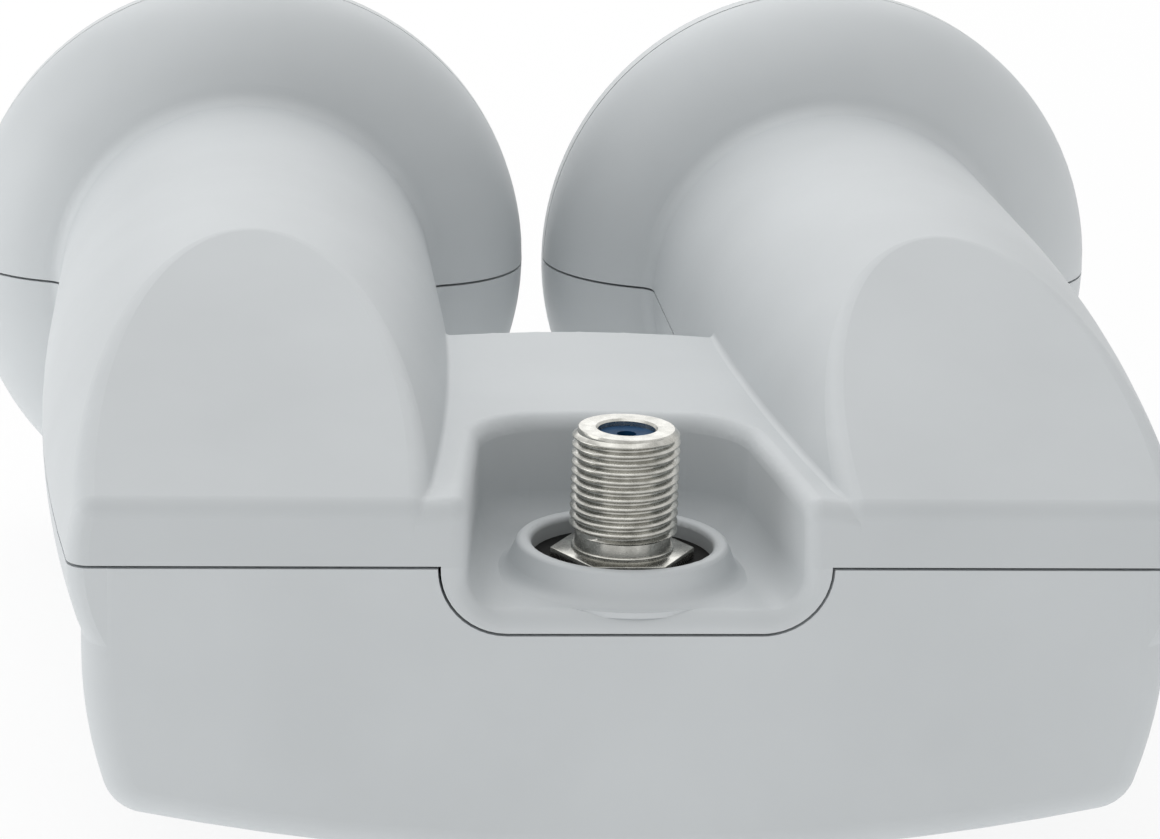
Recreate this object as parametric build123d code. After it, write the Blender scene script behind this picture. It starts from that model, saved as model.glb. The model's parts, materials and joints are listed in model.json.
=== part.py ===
import os
from math import cos, radians, sin, sqrt, tan
from build123d import *

# Horn barrels; both axes lie in the parting plane and the rear parting line is the datum
neck_r = 20.0
neck_back = 65.0
barrel_bow = 438.0
rim_r = 31.0
rim_space = 2.5
rim_y = 110.0
flare_angle = 70.0
blend_r = 2.0
roll_r = 13.5
wall = 2.0
far = 200.0
horn_pitch = 2 * rim_r + rim_space
horn_x = horn_pitch / 2

# Gaps and fits
parting_gap = 0.25
cap_gap = 0.35
cap_fit = 0.25
board_fit = 0.3
cover_fit = 0.3
collar_fit = 0.35
peg_fit = 0.05
screw_fit = 0.2

# Wing faces, rear strip and bridge
crest_y = 1.0
crest_z = 5.2
wing_slope = 0.355
wing_round = 2.0
bridge_mid_z = 6.2
bridge_sink = 6.6
bridge_half = horn_x - neck_r + bridge_sink
bridge_front = 55.0
bridge_round = 0.8
bridge_blend = 0.6

# Lower body
body_inset = 5.75
body_half = horn_x + neck_r - body_inset
body_side_z = -8.0
body_side_r = 40.0
body_edge_z = -22.2
body_mid_z = -27.0
body_corner_r = 4.0
body_round = 2.8
body_lap = 3.0
heel_step = 0.05
heel_start = 40.0

# Connector pocket and its collar
pocket_sink = 2.15
pocket_draft = 2.8
pocket_mouth = horn_x - neck_r + pocket_sink
pocket_back = pocket_mouth - pocket_draft
pocket_y = 25.0
pocket_corner = 5.0
pocket_floor = -4.0
pocket_bottom_r = 3.0
apron_side = 2.15
apron = 1.8
apron_corner = 5.7
mouth_round = 1.5
lip_slack = 0.01
collar_top = -1.3
collar_foot_r = 10.3
collar_r = 9.2
collar_bore_r = 7.95
collar_round = 0.55
collar_flow = 1.5
collar_sink = 0.5

# Front caps
cap_side = 2.1
cap_rise = 7.0
cap_dome = 2.6
cap_dome_lap = 0.05
cap_front = rim_y + cap_rise
cap_corner = 2.4
cap_shoulder_r = rim_r - cap_corner
cap_shoulder_y = cap_front - cap_dome
cap_wall = 1.8
cap_skirt = 1.6
cap_skirt_depth = 1.0
cap_skirt_back = rim_y - cap_skirt_depth
spigot_wall = 1.4
seal_inset = 7.9
seal_r = rim_r - seal_inset
seal_length = 2.0

# Metal casting
guide_r = 8.75
guide_wall = 2.25
guide_back = 28.0
guide_end = 2.0
mouth_depth = 18.0
mouth_y = rim_y - mouth_depth
mouth_r = 13.0
ring_wall = 1.2
seal_t = 1.6
ring_step = 3.9
ring_rise = 0.5
plate_depth = 5.0
plate_fit = 0.1
ring_r = seal_r - seal_t
ring_mid_r = ring_r - ring_step
ring_front = rim_y + ring_rise
plate_y = rim_y - plate_depth
plate_r = seal_r - plate_fit
plate_t = 2.0
tray_margin = 7.7
tray_half = body_half - tray_margin
tray_rear = 4.5
tray_front = 46.0
tray_corner = 3.0
tray_wall = 1.8
roof_top = -10.0
roof_t = 2.2
tray_low = -18.0
ledge = 1.2
ledge_z = -14.0
boss_r = collar_bore_r - collar_fit
boss_top = -4.2
rib_t = 1.6
rib_depths = (40.0, 22.0)
rib_y = [rim_y - depth for depth in rib_depths]
rib_lap = 1.0

# Circuit board, cover and screws
board_t = 1.0
gasket_t = 0.4
cover_t = 1.2
cover_rim = 1.2
screw_r = 1.2
screw_top = -12.6
screw_head_r = 2.2
screw_head_t = 1.0
screw_post_r = 2.6
screw_inset = 5.4
screw_mid_x = 13.0
screw_x = tray_half - screw_inset
screw_rear = tray_rear + screw_inset
screw_front = tray_front - screw_inset
screw_spots = [
    (-screw_x, screw_rear), (screw_x, screw_rear), (-screw_x, screw_front), (screw_x, screw_front),
    (-screw_mid_x, screw_front), (screw_mid_x, screw_front)
]
support_spots = [(-22.0, 20.0), (22.0, 20.0), (-22.0, 36.0), (22.0, 36.0)]
support_r = 2.5

# Pegs that join the shells
peg_inset = 4.6
peg_x = body_half - peg_inset
peg_mid_x = 6.0
peg_rear = 8.0
peg_front_inset = 5.0
peg_front = bridge_front - peg_front_inset
peg_spots = [(-peg_x, peg_rear), (peg_x, peg_rear), (-peg_mid_x, peg_front), (peg_mid_x, peg_front)]
peg_post_r = 2.4
peg_r = 1.3
peg_length = 5.0
peg_seat_z = -6.0

# Antenna probes
probe_r = 0.6
probe_y = 33.5
cross_probe_y = 40.0
cross_probe_x = 5.5
probe_tip_z = -3.5
cross_tip_x = 0.8
sleeve_r = 1.6
sleeve_top = -8.4
pin_tail = 0.6

# F connector, 3/8 inch by 32 turns an inch, with 11 mm spanner flats
connector_y = 11.9
connector_top = 8.9
thread_r = 4.72
thread_low = -0.6
thread_bevel = 0.55
relief_r = 4.15
hex_flats = 11.0
hex_top = -2.0
hex_t = 1.0
shank_r = 4.2
insulator_r = 2.5
insulator_drop = 0.6
contact_r = 0.5
contact_top = 6.4
entry_r = 0.85

# Board components
chip_size = (5.0, 5.0, 0.9)
chip_spot = (20.0, 30.0)
crystal_size = (3.2, 2.5, 0.8)
crystal_spot = (13.5, 25.0)
switch_size = (4.0, 4.0, 0.9)
switch_spot = (0.0, 28.0)
regulator_size = (6.5, 3.5, 1.6)
regulator_spot = (0.0, 20.5)
transistor_size = (2.1, 1.3, 0.9)
transistor_reach = 4.0
coil_r = 1.9
coil_t = 2.2
coil_spots = [(-10.0, 14.0), (10.0, 14.0)]
capacitor_size = (1.6, 0.8, 0.8)
capacitor_x = (-26.0, -16.0, -6.0, 6.0, 16.0, 26.0)
capacitor_y = 20.5

# Derived heights
board_top = ledge_z
board_low = board_top - board_t
roof_low = roof_top - roof_t
cover_top = tray_low - gasket_t
cover_low = cover_top - cover_t
hex_low = hex_top - hex_t
cap_back = rim_y + cap_gap
flare = radians(flare_angle)
strip_lean = crest_y / crest_z
blend_run = (rim_r - neck_r - (blend_r + roll_r) * (1 - cos(flare))) / tan(flare)
blend_y = rim_y - (blend_r + roll_r) * sin(flare) - blend_run


def neck_radius(y):
    run = max(0.0, neck_back - y)
    return neck_r - barrel_bow + sqrt(barrel_bow**2 - run**2)


def turned(points, axis_x=0.0):
    return Pos(axis_x, 0, 0) * revolve(make_face(Polyline(*points, close=True)), Axis.Y)


def tube(outer, inner, back, front, axis_x=0.0):
    return turned([(inner, back), (outer, back), (outer, front), (inner, front)], axis_x)


def upright(radius, low, high, x, y):
    return Pos(x, y, (low + high) / 2) * Cylinder(radius, high - low)


def block(size, x, y, top):
    return Pos(x, y, top - size[2] / 2) * Box(*size)


def below(z):
    return Pos(0, 0, z - far / 2) * Box(2 * far, 2 * far, far)


# Barrel, trumpet blend and rolled rim, turned about the horn axis
def horn(side, inset, front):
    blend = blend_r + inset
    roll = roll_r - inset
    neck = neck_r - inset
    rim = rim_r - inset
    mid = (inset + neck_back) / 2
    heel = (neck_radius(inset) - inset, inset)
    neck_start = (neck, neck_back)
    neck_end = (neck, blend_y)
    blend_mid = (neck + blend * (1 - cos(flare / 2)), blend_y + blend * sin(flare / 2))
    blend_end = (neck + blend * (1 - cos(flare)), blend_y + blend * sin(flare))
    roll_start = (rim - roll * (1 - cos(flare)), rim_y - roll * sin(flare))
    roll_mid = (rim - roll * (1 - cos(flare / 2)), rim_y - roll * sin(flare / 2))
    outline = [
        Line((0, inset), heel),
        ThreePointArc(heel, (neck_radius(mid) - inset, mid), neck_start),
        Line(neck_start, neck_end),
        ThreePointArc(neck_end, blend_mid, blend_end),
        Line(blend_end, roll_start),
        ThreePointArc(roll_start, roll_mid, (rim, rim_y)),
        Line((rim, rim_y), (rim, front)),
        Line((rim, front), (0, front)),
        Line((0, front), (0, inset)),
    ]
    return Pos(side * horn_x, 0, 0) * revolve(make_face(outline), Axis.Y)


# Rear strip at the height of the parting plane, moved inwards by the inset
def strip_start(inset):
    return inset * sqrt(1 + strip_lean**2)


# Line where the rear strip meets the wing face, moved inwards by the inset
def crest(inset):
    start = strip_start(inset)
    drop = inset * sqrt(1 + wing_slope**2)
    z = (crest_z - drop + wing_slope * (start - crest_y)) / (1 - wing_slope * strip_lean)
    return strip_lean * z + start, z


def wing_cut(inset):
    y, z = crest(inset)
    wing_end = z + wing_slope * (neck_back - y)
    outline = Polyline(
        (strip_start(inset), 0), (y, z), (neck_back, wing_end), (neck_back, far), (-far, far), (-far, 0),
        close=True
    )
    return extrude(Plane.YZ * make_face(outline), amount=far, both=True)


def winged_horn(side, inset, front):
    return horn(side, inset, front) - wing_cut(inset)


# Right horn with its wing edges rounded; beside the body its heel sits just inside the rear face
def rounded_horn():
    body = winged_horn(1, 0.0, cap_back)
    edges = [edge for edge in body.edges() if edge.bounding_box().max.Y < neck_back - wall]
    parting = body.edges().filter_by(Axis.X).sort_by(Axis.Z)[0]
    body = fillet([edge for edge in edges if edge.center() != parting.center()], wing_round)
    return body - Pos(heel_start + far, heel_step - far, 0) * below(0.0)


def bridge(inset):
    z = crest(inset)[1]
    start = strip_start(inset)
    top = bridge_mid_z - inset
    front = bridge_front - inset
    profile = make_face(
        Polyline((start, 0), (start + 2 * strip_lean * top, 2 * top), (front, 2 * top), (front, 0), close=True)
    )
    slab = extrude(Plane.YZ * profile, amount=bridge_half, both=True)
    dome = make_face([
        Line((-bridge_half, 0), (-bridge_half, z)),
        ThreePointArc((-bridge_half, z), (0, top), (bridge_half, z)),
        Line((bridge_half, z), (bridge_half, 0)),
        Line((bridge_half, 0), (-bridge_half, 0)),
    ])
    slab = slab & extrude(Plane.XZ * dome, amount=-far)
    if inset:
        return slab
    arcs = slab.edges().sort_by(Axis.Z)[-2:].sort_by(Axis.Y)
    slab = fillet(arcs[0], wing_round)
    return fillet(slab.edges().filter_by(GeomType.CIRCLE).sort_by(Axis.Y)[-1], bridge_round)


# Half width of the lower body where its sides curve in
def body_side(z):
    return body_half - body_side_r + sqrt(body_side_r**2 - (z - body_side_z) ** 2)


def lower_body(inset):
    foot = body_side(body_edge_z)
    mid_z = (body_side_z + body_edge_z) / 2
    mid = body_side(mid_z)
    section = make_face([
        Line((-body_half, body_lap), (-body_half, body_side_z)),
        ThreePointArc((-body_half, body_side_z), (-mid, mid_z), (-foot, body_edge_z)),
        ThreePointArc((-foot, body_edge_z), (0, body_mid_z), (foot, body_edge_z)),
        ThreePointArc((foot, body_edge_z), (mid, mid_z), (body_half, body_side_z)),
        Line((body_half, body_side_z), (body_half, body_lap)),
        Line((body_half, body_lap), (-body_half, body_lap)),
    ])
    section = fillet(section.vertices().sort_by(Axis.Y)[0:2], body_corner_r)
    if inset:
        section = offset(section, -inset)
    length = bridge_front - 2 * inset
    body = Pos(0, inset, 0) * extrude(Plane.XZ * section, amount=-length)
    for end in (0, -1):
        edges = body.faces().sort_by(Axis.Y)[end].edges().sort_by(Axis.Z)[:-1]
        body = fillet(edges, body_round - inset)
    return body & below(0.0)


def pocket(side, sink, bottom_r):
    slope = (pocket_mouth - pocket_back) / pocket_y
    mouth = pocket_mouth + slope * pocket_y
    plan = make_face(Polyline(
        (-mouth, -pocket_y), (-pocket_back, pocket_y), (pocket_back, pocket_y), (mouth, -pocket_y), close=True
    ))
    plan = fillet(plan.vertices().sort_by(Axis.Y)[2:], pocket_corner)
    if side:
        plan = offset(plan, side)
    depth = pocket_floor - sink
    space = extrude(Pos(0, 0, depth) * plan, amount=2 * bridge_mid_z - depth)
    floor_edges = space.faces().sort_by(Axis.Z)[0].edges().sort_by(Axis.Y)[1:]
    return fillet(floor_edges, bottom_r)


def outer_form():
    right = rounded_horn()
    form = mirror(right, Plane.YZ) + right + bridge(0.0) + lower_body(0.0)
    valleys = [
        edge for edge in form.edges()
        if edge.length > bridge_front / 2 and edge.bounding_box().min.Z > crest_z - wing_round
        and edge.bounding_box().max.Z < bridge_mid_z and edge.bounding_box().size.Y > bridge_front / 2
    ]
    return fillet(valleys, bridge_blend)


# Skin of both shells with the pocket cut and its lip rounded
def opened_form():
    form = outer_form() - pocket(0.0, 0.0, pocket_bottom_r)
    lip = []
    for edge in form.edges():
        box = edge.bounding_box()
        inside = abs(edge.center().X) < pocket_mouth + lip_slack
        rear = box.max.Y < crest_y + wing_round and box.min.Z > pocket_floor - rib_lap
        top = box.min.Z > crest_z and box.size.Z < wing_round and box.max.Y < pocket_y + rib_lap
        if inside and (rear or top):
            lip.append(edge)
    return fillet(lip, mouth_round)


def half_ring(side, y, keep):
    disc = tube(neck_r - wall + rib_lap, guide_r + guide_wall, y, y + rib_t, side * horn_x)
    return disc & keep


# Shells
skin = opened_form()
trough = pocket(apron_side, apron, apron_corner)
notch = pocket(apron_side + parting_gap, apron + parting_gap, apron_corner + parting_gap)
hollow = winged_horn(-1, wall, far) + winged_horn(1, wall, far) + bridge(wall) + lower_body(wall) - trough
both_shells = skin - hollow
above = Pos(0, 0, (far + parting_gap) / 2) * Box(2 * far, 2 * far, far)
under = below(-parting_gap / 2)
rim_front = Pos(0, rim_y + far / 2, 0) * Box(2 * far, far, 2 * far)

collar_reach = collar_foot_r + collar_flow
collar_low = pocket_floor - collar_sink
collar = make_face(Polyline(
    (collar_bore_r, collar_low), (collar_reach, collar_low), (collar_reach, pocket_floor),
    (collar_foot_r, pocket_floor), (collar_r, collar_top), (collar_bore_r, collar_top), close=True
))
collar = fillet(collar.vertices().sort_by(Axis.X)[3], collar_flow)
collar = revolve(collar, Axis.Y)
collar = fillet(collar.edges().sort_by(Axis.Y)[-2:], collar_round)
collar = Pos(0, connector_y, 0) * Rot(90, 0, 0) * collar
upper_shell = both_shells - (below(parting_gap / 2) - trough) - rim_front + collar
upper_shell -= upright(collar_bore_r, pocket_floor - 2 * apron, bridge_mid_z, 0, connector_y)
lower_shell = both_shells & (under - notch)
for side in (-1, 1):
    for y in rib_y:
        upper_shell += half_ring(side, y, above)
        lower_shell += half_ring(side, y, under)
for x, y in peg_spots:
    upper_shell += upright(peg_post_r, peg_seat_z, rim_r, x, y) & (skin - trough)
    upper_shell += upright(peg_r, peg_seat_z - peg_length, peg_seat_z, x, y)
    lower_shell += upright(peg_post_r, -far, peg_seat_z, x, y) & skin
    lower_shell -= upright(peg_r + peg_fit, peg_seat_z - peg_length - peg_fit, peg_seat_z, x, y)
for x, y in support_spots:
    lower_shell += upright(support_r, -far, cover_low, x, y) & skin


# Front caps and seals
def dome_point(radius, x, top):
    return (x, top - radius + sqrt(radius**2 - x**2))


def front_cap(side):
    inner_r = rim_r - wall - cap_fit
    lip_y = cap_back + cap_side
    skirt_r = inner_r - cap_skirt
    rise = cap_front - cap_shoulder_y
    dome_r = (cap_shoulder_r**2 + rise**2) / (2 * rise)
    inner_dome_r = (skirt_r**2 + rise**2) / (2 * rise)
    inner_mid = dome_point(inner_dome_r, skirt_r / 2, cap_front - cap_wall)
    corner_mid = ((cap_shoulder_r + 2 * rim_r) / 3, (2 * cap_shoulder_y + lip_y) / 3)
    shoulder = (cap_shoulder_r, cap_shoulder_y + cap_dome_lap)
    outline = [
        Polyline((0, cap_front), (cap_shoulder_r, cap_front), shoulder),
        ThreePointArc(shoulder, corner_mid, (rim_r, lip_y)),
        Polyline(
            (rim_r, lip_y), (rim_r, cap_back), (inner_r, cap_back), (inner_r, cap_skirt_back),
            (skirt_r, cap_skirt_back), (skirt_r, cap_shoulder_y - cap_wall)
        ),
        ThreePointArc((skirt_r, cap_shoulder_y - cap_wall), inner_mid, (0, cap_front - cap_wall)),
        Line((0, cap_front - cap_wall), (0, cap_front)),
    ]
    cap = revolve(make_face(outline), Axis.Y) & Pos(0, cap_front - dome_r, 0) * Sphere(dome_r)
    cap += tube(seal_r + spigot_wall, seal_r, plate_y + plate_t, cap_shoulder_y)
    return Pos(side * horn_x, 0, 0) * cap


def cap_seal(side):
    start = plate_y + plate_t
    return tube(seal_r, ring_r, start, start + seal_length, side * horn_x)


# Metal casting with both waveguides, feed rings, board tray and connector boss
def waveguide(side):
    outer_r = guide_r + guide_wall
    body = turned([
        (0, guide_back), (outer_r, guide_back), (outer_r, mouth_y), (mouth_r + ring_wall, plate_y),
        (plate_r, plate_y), (plate_r, plate_y + plate_t), (0, plate_y + plate_t)
    ])
    for radius in (mouth_r + ring_wall, ring_mid_r, ring_r):
        body += tube(radius, radius - ring_wall, plate_y, ring_front)
    bore = turned([
        (0, guide_back + guide_end), (guide_r, guide_back + guide_end), (guide_r, mouth_y),
        (mouth_r, plate_y), (mouth_r, far), (0, far)
    ])
    return Pos(side * horn_x, 0, 0) * (body - bore)


def waveguide_bore(side):
    return tube(guide_r, 0, guide_back + guide_end, mouth_y, side * horn_x)


tray_mid = (tray_rear + tray_front) / 2
tray_length = tray_front - tray_rear


def tray_plan(inset):
    return Pos(0, tray_mid) * RectangleRounded(
        2 * (tray_half - inset), tray_length - 2 * inset, tray_corner - inset / 2
    )


def tray_layer(inset, low, high):
    return extrude(Pos(0, 0, low) * tray_plan(inset), amount=high - low)


casting = tray_layer(0.0, tray_low, roof_top) - tray_layer(tray_wall, tray_low, roof_low)
casting += tray_layer(tray_wall, ledge_z, roof_low) - tray_layer(tray_wall + ledge, ledge_z, roof_low)
for x, y in screw_spots:
    casting += upright(screw_post_r, cover_top, roof_low, x, y)
    casting -= upright(screw_r, cover_top, screw_top, x, y)
for side in (-1, 1):
    casting += waveguide(side)
    casting -= waveguide_bore(side)
    casting -= upright(sleeve_r, roof_low, 0, side * horn_x, probe_y)
    casting -= upright(sleeve_r, roof_low, 0, side * (horn_x - cross_probe_x), cross_probe_y)
casting += upright(boss_r, roof_low, boss_top, 0, connector_y)
casting -= upright(shank_r, roof_low, boss_top, 0, connector_y)

# Circuit board
board = tray_layer(tray_wall + board_fit, board_low, board_top)
for x, y in screw_spots:
    board -= upright(screw_post_r + board_fit, board_low, board_top, x, y)
board -= upright(contact_r, board_low, board_top, 0, connector_y)
probe_spots = []
transistors = []
for side in (-1, 1):
    for x, y in ((horn_x, probe_y), (horn_x - cross_probe_x, cross_probe_y)):
        probe_spots.append((side * x, y))
        transistors.append(block(transistor_size, side * (x - transistor_reach), y, board_low))
for x, y in probe_spots:
    board -= upright(probe_r, board_low, board_top, x, y)

# Cover, gasket and screws
cover = tray_layer(0.0, cover_low, cover_top)
rim_inset = tray_wall + cover_fit
cover += tray_layer(rim_inset, cover_top, board_low) - tray_layer(rim_inset + cover_rim, cover_top, board_low)
gasket = tray_layer(0.0, cover_top, tray_low) - tray_layer(tray_wall, cover_top, tray_low)
screws = []
for x, y in screw_spots:
    cover -= upright(screw_post_r + cover_fit, cover_top, board_low, x, y)
    cover -= upright(screw_r + screw_fit, cover_low, cover_top, x, y)
    screws.append(
        upright(screw_head_r, cover_low - screw_head_t, cover_low, x, y)
        + upright(screw_r, cover_low, screw_top, x, y)
    )


# Probes
def straight_probe(side):
    return upright(probe_r, board_low - pin_tail, probe_tip_z, side * horn_x, probe_y)


def cross_probe(side):
    x = side * (horn_x - cross_probe_x)
    tip = side * (horn_x - cross_tip_x)
    arm = Pos((x + tip) / 2, cross_probe_y, 0) * Rot(0, 90, 0) * Cylinder(probe_r, abs(tip - x))
    elbow = Pos(x, cross_probe_y, 0) * Sphere(probe_r)
    return upright(probe_r, board_low - pin_tail, 0, x, cross_probe_y) + arm + elbow


sleeves = []
for x, y in probe_spots:
    sleeves.append(upright(sleeve_r, board_top, sleeve_top, x, y) - upright(probe_r, board_top, sleeve_top, x, y))

# F connector
barrel = upright(thread_r, thread_low, connector_top, 0, connector_y)
barrel = chamfer(barrel.edges().sort_by(Axis.Z)[-1], thread_bevel)
barrel += upright(relief_r, hex_top, thread_low, 0, connector_y)
hexagon = Pos(0, connector_y, hex_low) * RegularPolygon(hex_flats / 2, 6, major_radius=False)
barrel += extrude(hexagon, amount=hex_t)
barrel += upright(shank_r, roof_low, hex_low, 0, connector_y)
barrel -= upright(insulator_r, roof_low, connector_top, 0, connector_y)
insulator_top = connector_top - insulator_drop
insulator = upright(insulator_r, roof_low, insulator_top, 0, connector_y)
insulator -= upright(contact_r, roof_low, insulator_top, 0, connector_y)
insulator -= upright(entry_r, contact_top, insulator_top, 0, connector_y)
contact = upright(contact_r, board_low - pin_tail, contact_top, 0, connector_y)
seal = upright(collar_bore_r, boss_top, hex_low, 0, connector_y)
seal -= upright(shank_r, boss_top, hex_low, 0, connector_y)


def mirrored(size, spot, side):
    return block(size, side * spot[0], spot[1], board_low)


def group(solids):
    return Compound(children=solids)


nodes = {
    "upper_shell": upper_shell,
    "lower_shell": lower_shell,
    "front_cap_left": front_cap(-1),
    "front_cap_right": front_cap(1),
    "cap_seal_left": cap_seal(-1),
    "cap_seal_right": cap_seal(1),
    "waveguide_casting": casting,
    "circuit_board": board,
    "shield_cover": cover,
    "shield_gasket": gasket,
    "shield_screws": group(screws),
    "straight_probe_left": straight_probe(-1),
    "straight_probe_right": straight_probe(1),
    "cross_probe_left": cross_probe(-1),
    "cross_probe_right": cross_probe(1),
    "probe_sleeves": group(sleeves),
    "converter_chip_left": mirrored(chip_size, chip_spot, -1),
    "converter_chip_right": mirrored(chip_size, chip_spot, 1),
    "crystal_left": mirrored(crystal_size, crystal_spot, -1),
    "crystal_right": mirrored(crystal_size, crystal_spot, 1),
    "switch_chip": block(switch_size, *switch_spot, board_low),
    "regulator": block(regulator_size, *regulator_spot, board_low),
    "amplifier_transistors": group(transistors),
    "filter_coils": group([upright(coil_r, board_low - coil_t, board_low, x, y) for x, y in coil_spots]),
    "capacitors": group([block(capacitor_size, x, capacitor_y, board_low) for x in capacitor_x]),
    "connector_barrel": barrel,
    "connector_insulator": insulator,
    "connector_contact": contact,
    "connector_seal": seal,
}

os.makedirs("parts", exist_ok=True)
stand = Pos(0, -cap_front / 2, rim_r)
for name, shape in nodes.items():
    export_step(stand * shape, f"parts/{name}.step")
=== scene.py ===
import json
from math import cos, hypot, pi, radians

import bmesh
import bpy
from mathutils import Matrix, Vector


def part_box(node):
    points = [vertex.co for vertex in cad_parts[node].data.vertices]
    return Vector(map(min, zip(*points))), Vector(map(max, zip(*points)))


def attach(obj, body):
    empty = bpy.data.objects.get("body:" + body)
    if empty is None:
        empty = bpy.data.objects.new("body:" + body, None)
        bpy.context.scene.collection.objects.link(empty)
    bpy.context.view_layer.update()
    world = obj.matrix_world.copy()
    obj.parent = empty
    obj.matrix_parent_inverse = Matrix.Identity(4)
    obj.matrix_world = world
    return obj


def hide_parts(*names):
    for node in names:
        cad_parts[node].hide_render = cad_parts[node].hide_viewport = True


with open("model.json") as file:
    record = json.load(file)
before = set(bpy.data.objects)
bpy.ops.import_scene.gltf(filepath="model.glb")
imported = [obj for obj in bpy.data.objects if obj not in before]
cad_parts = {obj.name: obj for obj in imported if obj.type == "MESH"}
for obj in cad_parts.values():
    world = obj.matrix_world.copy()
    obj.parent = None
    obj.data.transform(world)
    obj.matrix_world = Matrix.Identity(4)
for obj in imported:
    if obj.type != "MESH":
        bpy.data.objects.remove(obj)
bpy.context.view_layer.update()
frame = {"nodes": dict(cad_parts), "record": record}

nodes = frame["nodes"]
mm = 0.001
print("frame loaded:", len(nodes), "nodes")


def linear(hexColour):  # sRGB hex to the linear colour that shaders take
    channels = [int(hexColour[i:i + 2], 16) / 255 for i in (1, 3, 5)]
    return tuple(c / 12.92 if c <= 0.04045 else ((c + 0.055) / 1.055) ** 2.4 for c in channels) + (1.0,)


def perMetre(sizeMm):  # texture scale that gives features of this size
    return 1 / (sizeMm * mm)


def addNode(tree, kind, settings=None, links=None):
    node = tree.nodes.new(kind)
    for name, value in (settings or {}).items():
        if isinstance(name, int) or name in node.inputs:
            node.inputs[name].default_value = value
        else:
            setattr(node, name, value)
    for name, source in (links or {}).items():
        tree.links.new(source, node.inputs[name])
    return node


def newMaterial(name):
    material = bpy.data.materials.new(name)
    material.use_nodes = True
    tree = material.node_tree
    tree.nodes.clear()
    return material, tree


# What every finish has unless it says otherwise
finishDefaults = {
    "mottleDetail": 3.0,
    "grainDetail": 2.0,
    "darkUntil": 0.3,  # the mottle's value up to which the dark colour holds
    "paleFrom": 0.7,
    "metallic": 0.0,
    "ior": 1.5,
    "specular": 0.5,
}


# Surface with a mottled colour, an uneven sheen and a fine bump; every finish below is one of these
def surfaceFinish(name, settings):
    s = finishDefaults | settings
    material, tree = newMaterial(name)
    place = addNode(tree, "ShaderNodeTexCoord").outputs["Object"]
    mottle = addNode(
        tree, "ShaderNodeTexNoise", {"Scale": perMetre(s["mottleMm"]), "Detail": s["mottleDetail"]},
        {"Vector": place}
    )
    grain = addNode(
        tree, "ShaderNodeTexNoise", {"Scale": perMetre(s["grainMm"]), "Detail": s["grainDetail"]},
        {"Vector": place}
    )
    colour = addNode(tree, "ShaderNodeValToRGB", links={"Fac": mottle.outputs["Fac"]})
    ends = colour.color_ramp.elements
    ends[0].color = linear(s["dark"])
    ends[1].color = linear(s["pale"])
    ends[0].position = s["darkUntil"]
    ends[1].position = s["paleFrom"]
    sheen = addNode(
        tree, "ShaderNodeMapRange", {"To Min": s["roughLow"], "To Max": s["roughHigh"]},
        {"Value": grain.outputs["Fac"]}
    )
    bump = addNode(
        tree, "ShaderNodeBump", {"Strength": s["bump"], "Distance": s["bumpMm"] * mm},
        {"Height": grain.outputs["Fac"]}
    )
    shader = addNode(
        tree, "ShaderNodeBsdfPrincipled",
        {"Metallic": s["metallic"], "IOR": s["ior"], "Specular IOR Level": s["specular"]},
        {
            "Base Color": colour.outputs["Color"],
            "Roughness": sheen.outputs["Result"],
            "Normal": bump.outputs["Normal"],
        }
    )
    addNode(tree, "ShaderNodeOutputMaterial", links={"Surface": shader.outputs["BSDF"]})
    return material


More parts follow.
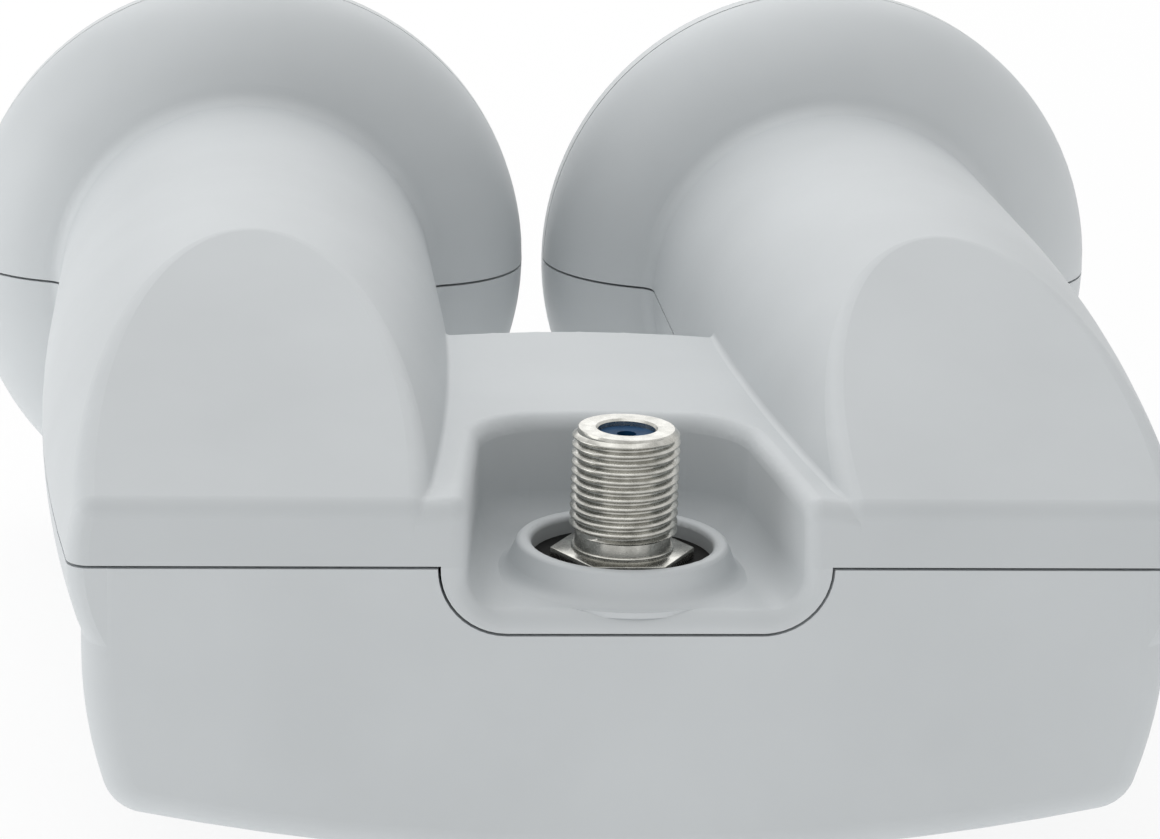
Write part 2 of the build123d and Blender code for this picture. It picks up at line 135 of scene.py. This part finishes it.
finishes = {
    # ASA from an etched mould: cool pale grey, soft satin, a grain just short of visible
    "shell_plastic": ("asaMouldedSatin", {
        "dark": "#c0c4c6", "pale": "#c5c9cb", "mottleMm": 18.0, "grainMm": 0.4,
        "bump": 0.25, "bumpMm": 0.02, "roughLow": 0.46, "roughHigh": 0.56}),
    # Polypropylene cap, thinner and a little glossier than the shells
    "cap_plastic": ("polypropyleneMouldedCap", {
        "dark": "#c2c6c8", "pale": "#c8cccd", "mottleMm": 22.0, "grainMm": 0.5,
        "bump": 0.15, "bumpMm": 0.015, "roughLow": 0.4, "roughHigh": 0.48}),
    # Nitrile rubber: black and dull, with a dusty bloom
    "seal_rubber": ("nitrileMoulded", {
        "dark": "#0d0d0d", "pale": "#1b1b1a", "mottleMm": 2.5, "grainMm": 0.3,
        "bump": 0.3, "bumpMm": 0.02, "roughLow": 0.6, "roughHigh": 0.8, "specular": 0.12}),
    # Zinc alloy as it leaves the die: grey, faintly streaked, half dull
    "die_cast_metal": ("zincDieCast", {
        "dark": "#9a9ca0", "pale": "#b4b6b9", "mottleMm": 6.0, "grainMm": 0.6,
        "bump": 0.3, "bumpMm": 0.03, "roughLow": 0.4, "roughHigh": 0.6, "metallic": 1.0}),
    # Glass laminate under solder mask: green and shiny over a faint weave
    "board_laminate": ("laminateSolderMask", {
        "dark": "#1c4a2b", "pale": "#245a35", "mottleMm": 3.0, "grainMm": 0.5,
        "bump": 0.1, "bumpMm": 0.01, "roughLow": 0.25, "roughHigh": 0.4}),
    # Zinc plated steel screws: bright with a cool cast
    "screw_steel": ("steelZincPlated", {
        "dark": "#a9adb2", "pale": "#c4c7ca", "mottleMm": 1.5, "grainMm": 0.2,
        "bump": 0.15, "bumpMm": 0.01, "roughLow": 0.25, "roughHigh": 0.4, "metallic": 1.0}),
    # Drawn brass wire: warm, with fine draw marks
    "probe_brass": ("brassDrawn", {
        "dark": "#b7924a", "pale": "#d1ae66", "mottleMm": 1.0, "grainMm": 0.15,
        "bump": 0.15, "bumpMm": 0.01, "roughLow": 0.2, "roughHigh": 0.35, "metallic": 1.0}),
    # Turned fluoropolymer sleeves: white and waxy
    "sleeve_plastic": ("fluoropolymerTurned", {
        "dark": "#e2e2de", "pale": "#eeeeea", "mottleMm": 1.5, "grainMm": 0.2,
        "bump": 0.15, "bumpMm": 0.01, "roughLow": 0.4, "roughHigh": 0.5, "ior": 1.38}),
    # Epoxy resin packages: black and matt from the mould
    "chip_resin": ("epoxyMoulded", {
        "dark": "#161617", "pale": "#222223", "mottleMm": 0.8, "grainMm": 0.12,
        "bump": 0.3, "bumpMm": 0.01, "roughLow": 0.55, "roughHigh": 0.7}),
    # Crystal lid: gold-grey plating on thin steel
    "crystal_can": ("steelLidPlated", {
        "dark": "#b5ac9a", "pale": "#cbc3b2", "mottleMm": 1.0, "grainMm": 0.15,
        "bump": 0.15, "bumpMm": 0.01, "roughLow": 0.25, "roughHigh": 0.38, "metallic": 1.0}),
    # Pressed ferrite: dark grey with a stony grain
    "coil_ferrite": ("ferritePressed", {
        "dark": "#2b2b2c", "pale": "#3a3a3b", "mottleMm": 0.8, "grainMm": 0.15,
        "bump": 0.4, "bumpMm": 0.02, "roughLow": 0.6, "roughHigh": 0.8}),
    # Fired ceramic: tan and slightly glossy
    "capacitor_ceramic": ("ceramicFired", {
        "dark": "#a5855f", "pale": "#b7966d", "mottleMm": 0.6, "grainMm": 0.1,
        "bump": 0.15, "bumpMm": 0.01, "roughLow": 0.35, "roughHigh": 0.5}),
    # Bright nickel on turned brass: warm silver, sparkling where tool marks catch the light
    "connector_nickel": ("nickelPlatedTurned", {
        "dark": "#a6a59f", "pale": "#c7c6c0", "mottleMm": 1.2, "grainMm": 0.16,
        "bump": 0.35, "bumpMm": 0.012, "roughLow": 0.16, "roughHigh": 0.34, "metallic": 1.0}),
    # Polyethylene insulator: deep blue and waxy, with little shine
    "insulator_blue": ("polyethyleneMouldedBlue", {
        "dark": "#103353", "pale": "#18466b", "mottleMm": 1.5, "grainMm": 0.25,
        "bump": 0.1, "bumpMm": 0.01, "roughLow": 0.4, "roughHigh": 0.52, "specular": 0.05}),
}
materials = {slot: surfaceFinish(name, settings) for slot, (name, settings) in finishes.items()}
for part in frame["record"]["subparts"]:
    mesh = nodes[part["node"]].data
    mesh.materials.clear()
    mesh.materials.append(materials[part["material_slot"]])
print("finishes set:", len(materials))


def addPiece(name, bm, slot, replaced):
    mesh = bpy.data.meshes.new(name)
    bm.to_mesh(mesh)
    bm.free()
    piece = bpy.data.objects.new(name, mesh)
    bpy.context.scene.collection.objects.link(piece)
    mesh.materials.append(materials[slot])
    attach(piece, "root")
    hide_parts(replaced)


# Threaded barrel of the coaxial socket, with the thread cut as real turns; sizes in mm
barrelSettings = {
    "pitch": 25.4 / 32,  # 32 turns an inch
    "crestRadius": 4.72,
    "rootRadius": 4.26,
    "crestFlat": 0.12,
    "rootFlat": 0.14,
    "crestSoft": 0.05,
    "stepsPerTurn": 72,
    "spareTurns": 2,  # cut off at both ends of the thread
    "mergeWithin": 0.005,
    "threadRun": 9.5,
    "topBevel": 0.55,
    "runOut": 0.3,
    "reliefRadius": 4.08,
    "reliefFoot": 4.24,
    "reliefRun": 1.4,
    "ringRadius": 4.5,
    "ringHeight": 0.35,
    "ringBevel": 0.08,
    "hexFlats": 11.0,
    "hexThick": 1.0,
    "hexBevel": 0.12,
    "hexBevelSteps": 2,
    "shankRadius": 4.2,
    "boreBevel": 0.2,
    "creaseDegrees": 35,
}


def threadedBarrel(s):
    low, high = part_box("connector_barrel")
    boreLow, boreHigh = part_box("connector_insulator")
    axis = (low + high) / 2
    boreRadius = (boreHigh.x - boreLow.x) / 2 / mm
    top = high.z / mm
    bottom = low.z / mm
    threadLow = top - s["threadRun"]
    hexTop = threadLow - s["reliefRun"]

    # One turn's profile, wound up past both ends and cut to length
    bm = bmesh.new()
    soft = s["crestSoft"]
    half = s["pitch"] / 2
    turnProfile = [
        (s["rootRadius"], 0),
        (s["rootRadius"], s["rootFlat"] / 2),
        (s["crestRadius"] - soft, half - s["crestFlat"] / 2 - soft / 2),
        (s["crestRadius"], half - s["crestFlat"] / 2 + soft),
        (s["crestRadius"], half + s["crestFlat"] / 2 - soft),
        (s["crestRadius"] - soft, half + s["crestFlat"] / 2 + soft / 2),
        (s["rootRadius"], s["pitch"] - s["rootFlat"] / 2),
        (s["rootRadius"], s["pitch"]),
    ]
    turns = round(s["threadRun"] / s["pitch"]) + s["spareTurns"]
    start = threadLow - s["pitch"]
    verts = [bm.verts.new((r, 0, start + z)) for r, z in turnProfile]
    edges = [bm.edges.new(pair) for pair in zip(verts, verts[1:])]
    bmesh.ops.spin(
        bm, geom=verts + edges, cent=(0, 0, 0), axis=(0, 0, 1), dvec=(0, 0, s["pitch"] / s["stepsPerTurn"]),
        angle=2 * pi * turns, steps=turns * s["stepsPerTurn"]
    )
    bmesh.ops.remove_doubles(bm, verts=bm.verts[:], dist=s["mergeWithin"])
    for z, up in ((top, 1), (threadLow, -1)):
        bmesh.ops.bisect_plane(
            bm, geom=bm.verts[:] + bm.edges[:] + bm.faces[:], plane_co=(0, 0, z), plane_no=(0, 0, up),
            clear_outer=True
        )
    for vert in bm.verts:  # bevel at the top and run-out at the foot
        radius = hypot(vert.co.x, vert.co.y)
        topLimit = s["crestRadius"] - s["topBevel"] + (top - vert.co.z)
        footLimit = s["reliefRadius"] + (vert.co.z - threadLow) * s["topBevel"] / s["runOut"]
        shrink = min(1.0, topLimit / radius, max(footLimit, s["reliefRadius"]) / radius)
        vert.co.x *= shrink
        vert.co.y *= shrink

    def rim(z):  # open edges at this height
        return [
            edge for edge in bm.edges
            if edge.is_boundary and all(abs(vert.co.z - z) < s["mergeWithin"] for vert in edge.verts)
        ]

    def ringOn(edges, radius, z):  # carries an open rim on to the next ring of the turned profile
        grown = bmesh.ops.extrude_edge_only(bm, edges=edges)["geom"]
        for vert in (item for item in grown if isinstance(item, bmesh.types.BMVert)):
            reach = hypot(vert.co.x, vert.co.y)
            vert.co = (vert.co.x * radius / reach, vert.co.y * radius / reach, z)
        return [item for item in grown if isinstance(item, bmesh.types.BMEdge)]

    # Relief, low ring and shank below the thread, then the bore down from the mouth
    ringTop = hexTop + s["ringHeight"]
    footProfile = [
        (s["reliefFoot"], ringTop),
        (s["ringRadius"] - s["ringBevel"], ringTop),
        (s["ringRadius"], ringTop - s["ringBevel"]),
        (s["ringRadius"], hexTop),
        (s["shankRadius"], hexTop),
        (s["shankRadius"], bottom),
    ]
    boreProfile = [
        (boreRadius + s["boreBevel"], top),
        (boreRadius, top - s["boreBevel"]),
        (boreRadius, bottom),
    ]
    foot = rim(threadLow)
    for radius, z in footProfile:
        foot = ringOn(foot, radius, z)
    mouth = rim(top)
    for radius, z in boreProfile:
        mouth = ringOn(mouth, radius, z)
    bmesh.ops.bridge_loops(bm, edges=foot + mouth)

    # Hex flange
    cornerRadius = s["hexFlats"] / 2 / cos(pi / 6)
    flangeMid = hexTop - s["hexThick"] / 2
    flange = bmesh.ops.create_cone(
        bm, cap_ends=True, segments=6, radius1=cornerRadius, radius2=cornerRadius, depth=s["hexThick"],
        matrix=Matrix.Translation((0, 0, flangeMid)) @ Matrix.Rotation(pi / 6, 4, "Z")
    )["verts"]
    flangeEdges = list({edge for vert in flange for edge in vert.link_edges})
    bmesh.ops.bevel(
        bm, geom=flangeEdges, offset=s["hexBevel"], affect="EDGES", segments=s["hexBevelSteps"],
        profile=0.5, material=-1
    )
    bmesh.ops.recalc_face_normals(bm, faces=bm.faces[:])
    for face in bm.faces:
        face.smooth = True
    for edge in bm.edges:
        edge.smooth = edge.calc_face_angle(0.0) < radians(s["creaseDegrees"])
    bmesh.ops.transform(
        bm, verts=bm.verts[:], matrix=Matrix.Translation((axis.x, axis.y, 0)) @ Matrix.Scale(mm, 4)
    )
    addPiece("threadedBarrel", bm, "connector_nickel", "connector_barrel")


threadedBarrel(barrelSettings)
print("threaded barrel made")

# Studio: a softly lit white table, soft lamps and the photograph's camera; sizes in metres
whiteStrength = 1.0  # shows as pure white


def seenRays(tree):  # 1 where the camera, a reflection or a refraction looks
    path = addNode(tree, "ShaderNodeLightPath").outputs
    seen = path["Is Camera Ray"]
    for kind in ("Is Glossy Ray", "Is Transmission Ray"):
        either = addNode(tree, "ShaderNodeMath", {"operation": "MAXIMUM"}, {0: seen, 1: path[kind]})
        seen = either.outputs[0]
    return seen


floorSettings = {
    "side": 4.0,
    "colour": "#fafafa",
    "whiteShare": 0.85,  # the rest is paper, which keeps the object's shadow
    "glow": 0.4,  # soft light that the table throws up, unseen by the camera
}


def studioFloor(s):
    bm = bmesh.new()
    bmesh.ops.create_grid(bm, x_segments=1, y_segments=1, size=s["side"] / 2)
    mesh = bpy.data.meshes.new("floor")
    bm.to_mesh(mesh)
    bm.free()
    floor = bpy.data.objects.new("floor", mesh)
    bpy.context.scene.collection.objects.link(floor)
    material, tree = newMaterial("paperSweep")
    seen = seenRays(tree)
    share = addNode(tree, "ShaderNodeMath", {"operation": "MULTIPLY", 1: s["whiteShare"]}, {0: seen})
    unseen = addNode(
        tree, "ShaderNodeMath", {"operation": "MULTIPLY_ADD", 1: -s["glow"], 2: s["glow"]}, {0: seen}
    )
    paper = addNode(tree, "ShaderNodeBsdfDiffuse", {"Color": linear(s["colour"])})
    glow = addNode(tree, "ShaderNodeEmission", links={"Strength": unseen.outputs[0]})
    table = addNode(tree, "ShaderNodeAddShader", links={0: paper.outputs[0], 1: glow.outputs[0]})
    white = addNode(tree, "ShaderNodeEmission", {"Strength": whiteStrength})
    mix = addNode(
        tree, "ShaderNodeMixShader", links={0: share.outputs[0], 1: table.outputs[0], 2: white.outputs[0]}
    )
    addNode(tree, "ShaderNodeOutputMaterial", links={"Surface": mix.outputs[0]})
    mesh.materials.append(material)


studioFloor(floorSettings)

worldSettings = {"colour": "#ffffff", "strength": 0.6}


def studioWorld(s):
    world = bpy.data.worlds.new("studio")
    world.use_nodes = True
    tree = world.node_tree
    tree.nodes.clear()
    tint = linear(s["colour"])
    ambient = addNode(tree, "ShaderNodeBackground", {"Color": tint, "Strength": s["strength"]})
    white = addNode(tree, "ShaderNodeBackground", {"Color": tint, "Strength": whiteStrength})
    mix = addNode(
        tree, "ShaderNodeMixShader", links={0: seenRays(tree), 1: ambient.outputs[0], 2: white.outputs[0]}
    )
    addNode(tree, "ShaderNodeOutputWorld", links={"Surface": mix.outputs[0]})
    bpy.context.scene.world = world


studioWorld(worldSettings)

lampAim = (0.0, 0.0, 0.03)
lampSettings = [
    {"name": "overhead", "place": (-0.10, 0.05, 0.75), "side": 0.7, "watts": 1.25},
    {"name": "backBox", "place": (0.0, 0.60, 0.55), "side": 0.7, "watts": 1.6},
    {"name": "sideLeft", "place": (-0.70, 0.05, 0.20), "side": 0.5, "watts": 1.3},
]


def studioLamp(s):
    data = bpy.data.lights.new(s["name"], "AREA")
    data.shape = "SQUARE"
    data.size = s["side"]
    data.energy = s["watts"]
    lamp = bpy.data.objects.new(s["name"], data)
    bpy.context.scene.collection.objects.link(lamp)
    lamp.location = s["place"]
    lamp.rotation_euler = (Vector(lampAim) - lamp.location).to_track_quat("-Z", "Y").to_euler()


for settings in lampSettings:
    studioLamp(settings)

cameraSettings = {
    "place": (-0.034525, -0.339005, 0.125517),
    "turn": -5.94,  # to the right, seen from above
    "tilt": -16.12,  # below the horizon
    "roll": 2.03,
    "lens": 110.05,
    "sensor": 36.0,
}


def studioCamera(s):
    data = bpy.data.cameras.new("camera")
    data.sensor_fit = "HORIZONTAL"
    data.sensor_width = s["sensor"]
    data.lens = s["lens"]
    camera = bpy.data.objects.new("camera", data)
    bpy.context.scene.collection.objects.link(camera)
    camera.matrix_world = (
        Matrix.Translation(s["place"])
        @ Matrix.Rotation(radians(s["turn"]), 4, "Z")
        @ Matrix.Rotation(radians(90 + s["tilt"]), 4, "X")
        @ Matrix.Rotation(radians(s["roll"]), 4, "Z")
    )
    bpy.context.scene.camera = camera


studioCamera(cameraSettings)
bpy.context.scene.view_settings.view_transform = "Standard"
print("studio ready")
